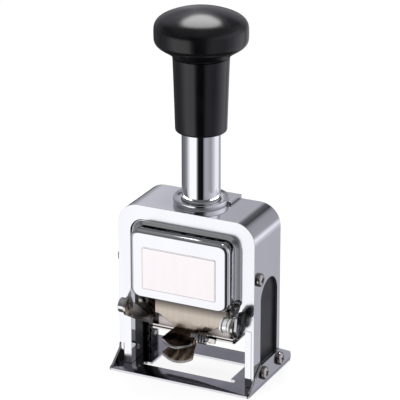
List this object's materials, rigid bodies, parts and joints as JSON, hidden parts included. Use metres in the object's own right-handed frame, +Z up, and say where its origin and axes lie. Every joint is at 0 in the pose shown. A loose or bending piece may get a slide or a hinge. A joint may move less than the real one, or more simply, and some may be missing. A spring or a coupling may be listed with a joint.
{
  "type": "numbering machine",
  "caption": "Hand numbering machine: a black knob presses a carriage of number wheels through a chromed housing to the paper while the ink pad swings away.",
  "frame": {"origin": "middle of the machine's footprint, on the paper face", "axes": "+X to the machine's right, +Y to its back, +Z up along the plunger"},
  "size_m": [0.0668, 0.0428, 0.1541],
  "materials": {
    "chrome": "polished chrome plating",
    "nickel": "warm nickel plating",
    "steel": "plain machined steel",
    "spring_steel": "bright spring wire and strip",
    "black_steel": "semi-gloss black",
    "black_plastic": "high gloss",
    "felt": "felt",
    "label": "satin foil"
  },
  "bodies": {
    "frame": {"foot_plate": "chrome", "housing": "chrome", "right_leg_plate": "chrome", "rear_plate": "chrome", "collar": "chrome", "front_cover": "chrome", "pad_lug_left": "chrome", "pad_lug_right": "steel", "pad_pivot_left": "steel", "pad_pivot_right": "steel", "ear_screw_front_left": "steel", "ear_screw_rear_left": "steel", "guide_screw_left": "steel", "rear_screw_left": "steel", "guide_rod_left": "steel", "ear_screw_front_right": "steel", "ear_screw_rear_right": "steel", "guide_screw_right": "steel", "rear_screw_right": "steel", "guide_rod_right": "steel", "return_spring_left": "spring_steel", "return_spring_right": "spring_steel", "side_guide_left": "black_steel", "side_guide_right": "black_steel", "label_plate": "label"},
    "plunger": {"plunger_shaft": "chrome", "knob_neck": "black_plastic", "knob_cap": "black_plastic", "carriage_head": "black_steel", "carriage_side_left": "black_steel", "carriage_side_right": "black_steel", "axle_clip_left": "spring_steel", "axle_clip_right": "spring_steel", "carriage_tie_rod": "steel", "wheel_axle": "steel", "detent_comb": "spring_steel"},
    "pad_holder": {"pad_tray": "nickel", "pad_shield": "nickel", "ink_pad": "felt", "pivot_sleeve": "chrome", "catch_spring": "spring_steel"},
    "feed_yoke": {"feed_yoke": "steel"},
    "feed_pawl": {"feed_pawl": "steel"},
    "thumb_screw": {"thumb_screw": "black_steel"},
    "number_wheel_1": {"number_wheel_1": "steel"},
    "number_wheel_2": {"number_wheel_2": "steel"},
    "number_wheel_3": {"number_wheel_3": "steel"},
    "number_wheel_4": {"number_wheel_4": "steel"},
    "number_wheel_5": {"number_wheel_5": "steel"},
    "number_wheel_6": {"number_wheel_6": "steel"}
  },
  "joints": [
    {"name": "plunger_press", "type": "slide", "parent": "frame", "child": "plunger", "axis": [0, 0, -1], "range_m": [0, 0.0223], "stiffness_N_per_m": 500, "springref_m": -0.02, "deforming": ["return_spring_left", "return_spring_right"]},
    {"name": "pad_holder_swing", "type": "hinge", "parent": "frame", "child": "pad_holder", "pos_m": [0, -0.01745, 0.029], "axis": [-1, 0, 0], "range_deg": [0, 100]},
    {"name": "feed_yoke_swing", "type": "hinge", "parent": "plunger", "child": "feed_yoke", "pos_m": [0, 0.00105, 0.0305], "axis": [1, 0, 0], "range_deg": [0, 36]},
    {"name": "feed_pawl_click", "type": "hinge", "parent": "feed_yoke", "child": "feed_pawl", "pos_m": [0, 0.00457, 0.03922], "axis": [1, 0, 0], "range_deg": [0, 8]},
    {"name": "thumb_screw_turn", "type": "hinge", "parent": "frame", "child": "thumb_screw", "pos_m": [0.0276, -0.01745, 0.0333], "axis": [1, 0, 0], "continuous": true},
    {"name": "number_wheel_1_turn", "type": "hinge", "parent": "plunger", "child": "number_wheel_1", "pos_m": [-0.0105, 0.00105, 0.0305], "axis": [1, 0, 0], "continuous": true},
    {"name": "number_wheel_2_turn", "type": "hinge", "parent": "plunger", "child": "number_wheel_2", "pos_m": [-0.0063, 0.00105, 0.0305], "axis": [1, 0, 0], "continuous": true},
    {"name": "number_wheel_3_turn", "type": "hinge", "parent": "plunger", "child": "number_wheel_3", "pos_m": [-0.0021, 0.00105, 0.0305], "axis": [1, 0, 0], "continuous": true},
    {"name": "number_wheel_4_turn", "type": "hinge", "parent": "plunger", "child": "number_wheel_4", "pos_m": [0.0021, 0.00105, 0.0305], "axis": [1, 0, 0], "continuous": true},
    {"name": "number_wheel_5_turn", "type": "hinge", "parent": "plunger", "child": "number_wheel_5", "pos_m": [0.0063, 0.00105, 0.0305], "axis": [1, 0, 0], "continuous": true},
    {"name": "number_wheel_6_turn", "type": "hinge", "parent": "plunger", "child": "number_wheel_6", "pos_m": [0.0105, 0.00105, 0.0305], "axis": [1, 0, 0], "continuous": true}
  ],
  "couplings": [
    {"joint": "pad_holder_swing", "follows": "plunger_press", "rad_per_m": 78.258},
    {"joint": "feed_yoke_swing", "follows": "plunger_press", "rad_per_m": 28.173}
  ]
}
